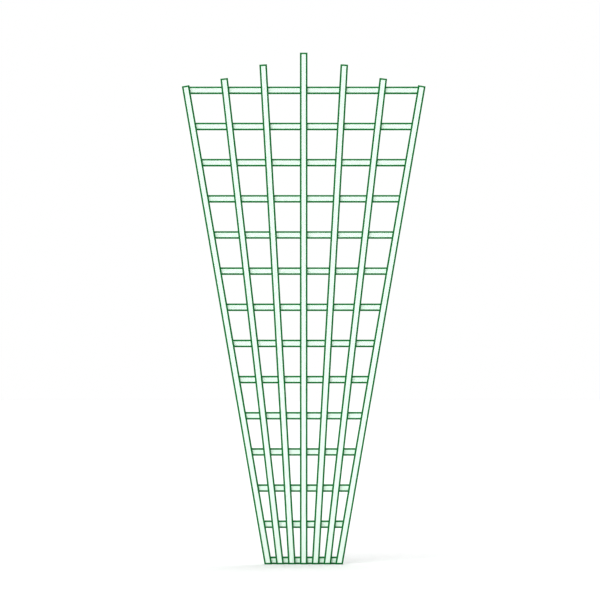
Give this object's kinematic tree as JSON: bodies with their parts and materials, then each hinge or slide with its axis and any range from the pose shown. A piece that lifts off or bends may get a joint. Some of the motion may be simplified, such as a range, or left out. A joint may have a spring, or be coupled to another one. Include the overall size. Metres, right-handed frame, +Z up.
{
  "type": "espalier frame",
  "caption": "Flat fan-shaped garden trellis of painted timber: uprights fan out from a narrow foot in front of level rails, housed and screwed, for training a plant against a wall.",
  "frame": {"origin": "middle of the foot, on the ground, halfway between the front of the uprights and the back of the rails", "axes": "+Z up along the centre upright, +X to the right seen from the front, +Y towards the wall behind the rails"},
  "size_m": [0.9094, 0.035, 1.909],
  "materials": {
    "painted_timber": "satin mint-white paint on planed timber, edges picked out in green",
    "screw_steel": "plain stainless steel, satin"
  },
  "bodies": {
    "root": {"upright_outer_left": "painted_timber", "upright_middle_left": "painted_timber", "upright_inner_left": "painted_timber", "upright_centre": "painted_timber", "upright_inner_right": "painted_timber", "upright_middle_right": "painted_timber", "upright_outer_right": "painted_timber", "rail_01": "painted_timber", "rail_02": "painted_timber", "rail_03": "painted_timber", "rail_04": "painted_timber", "rail_05": "painted_timber", "rail_06": "painted_timber", "rail_07": "painted_timber", "rail_08": "painted_timber", "rail_09": "painted_timber", "rail_10": "painted_timber", "rail_11": "painted_timber", "rail_12": "painted_timber", "rail_13": "painted_timber", "rail_14": "painted_timber", "rail_01_screws": "screw_steel", "rail_02_screws": "screw_steel", "rail_03_screws": "screw_steel", "rail_04_screws": "screw_steel", "rail_05_screws": "screw_steel", "rail_06_screws": "screw_steel", "rail_07_screws": "screw_steel", "rail_08_screws": "screw_steel", "rail_09_screws": "screw_steel", "rail_10_screws": "screw_steel", "rail_11_screws": "screw_steel", "rail_12_screws": "screw_steel", "rail_13_screws": "screw_steel", "rail_14_screws": "screw_steel"}
  },
  "joints": []
}
